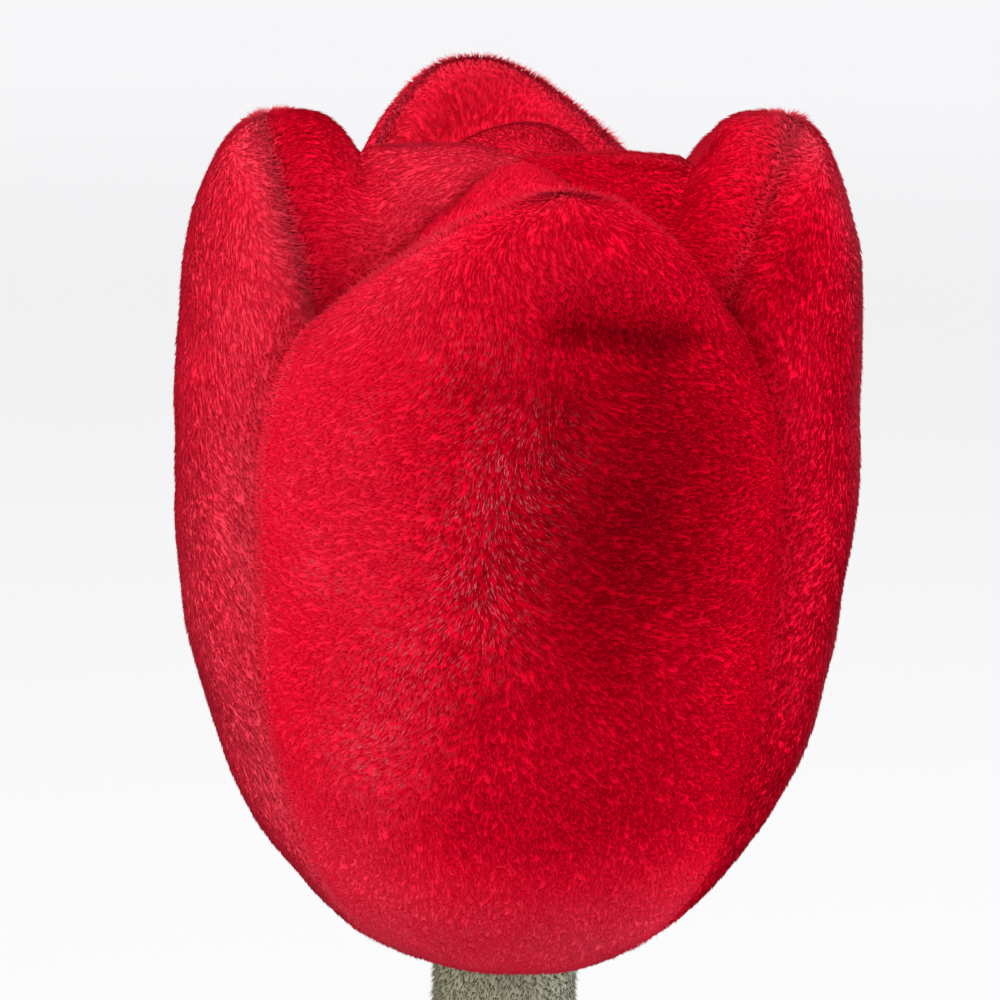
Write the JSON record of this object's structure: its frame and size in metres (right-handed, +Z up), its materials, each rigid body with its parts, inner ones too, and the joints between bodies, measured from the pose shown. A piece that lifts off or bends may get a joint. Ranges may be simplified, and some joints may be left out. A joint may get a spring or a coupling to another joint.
{
  "type": "plush tulip in pot",
  "caption": "Stuffed toy tulip with a closed long-pile bloom, a soft stem and padded leaves, standing in a stuffed fabric pot weighted low down",
  "frame": {"origin": "centre of the pot's flat underside", "axes": "+Z up along the stem; +X to the flower's right seen from its front; the front petal faces -Y"},
  "size_m": [0.1, 0.1, 0.2888],
  "materials": {
    "petal_plush": "long-pile polyester plush, red, brushed in swirls",
    "stem_plush": "short-pile polyester plush, grey green",
    "leaf_plush": "short-pile polyester plush, green",
    "pot_fabric": "woven cotton canvas, terracotta",
    "soil_plush": "curly boucle plush, dark brown",
    "filling": "loose polyester fibre",
    "foam": "firm foam rod",
    "bead_bag": "cloth bag of plastic beads",
    "board": "stiff plastic sheet"
  },
  "bodies": {
    "pot": {"pot_base": "pot_fabric", "base_board": "board", "pot_side": "pot_fabric", "bead_bag": "bead_bag", "pot_filling": "filling", "soil_top": "soil_plush", "pot_cuff": "pot_fabric"},
    "stem": {"stem_cover": "stem_plush", "stem_core": "foam"},
    "bloom": {"petal_front_outer": "petal_plush", "petal_right_outer": "petal_plush", "petal_back_outer": "petal_plush", "petal_left_outer": "petal_plush", "petal_front_inner": "petal_plush", "petal_right_inner": "petal_plush", "petal_back_inner": "petal_plush", "petal_left_inner": "petal_plush", "bloom_filling": "filling"},
    "leaf_right": {"leaf_right_outer_face": "leaf_plush", "leaf_right_inner_face": "leaf_plush", "leaf_right_wadding": "filling"},
    "leaf_left": {"leaf_left_outer_face": "leaf_plush", "leaf_left_inner_face": "leaf_plush", "leaf_left_wadding": "filling"}
  },
  "joints": [
    {"name": "stem_sway", "type": "hinge", "parent": "pot", "child": "stem", "pos_m": [0, 0, 0.0783], "axis": [0, 1, 0], "range_deg": [-10, 10], "stiffness_Nm_per_rad": 1},
    {"name": "bloom_nod", "type": "hinge", "parent": "stem", "child": "bloom", "pos_m": [0, 0, 0.1738], "axis": [1, 0, 0], "range_deg": [-12, 12], "stiffness_Nm_per_rad": 0.4},
    {"name": "leaf_right_bend", "type": "hinge", "parent": "stem", "child": "leaf_right", "pos_m": [0.01134, -0.00794, 0.0908], "axis": [0.5736, 0.8192, 0], "range_deg": [-8, 35], "stiffness_Nm_per_rad": 0.05},
    {"name": "leaf_left_bend", "type": "hinge", "parent": "stem", "child": "leaf_left", "pos_m": [-0.01199, -0.00692, 0.0908], "axis": [0.5, -0.866, 0], "range_deg": [-8, 35], "stiffness_Nm_per_rad": 0.05}
  ]
}
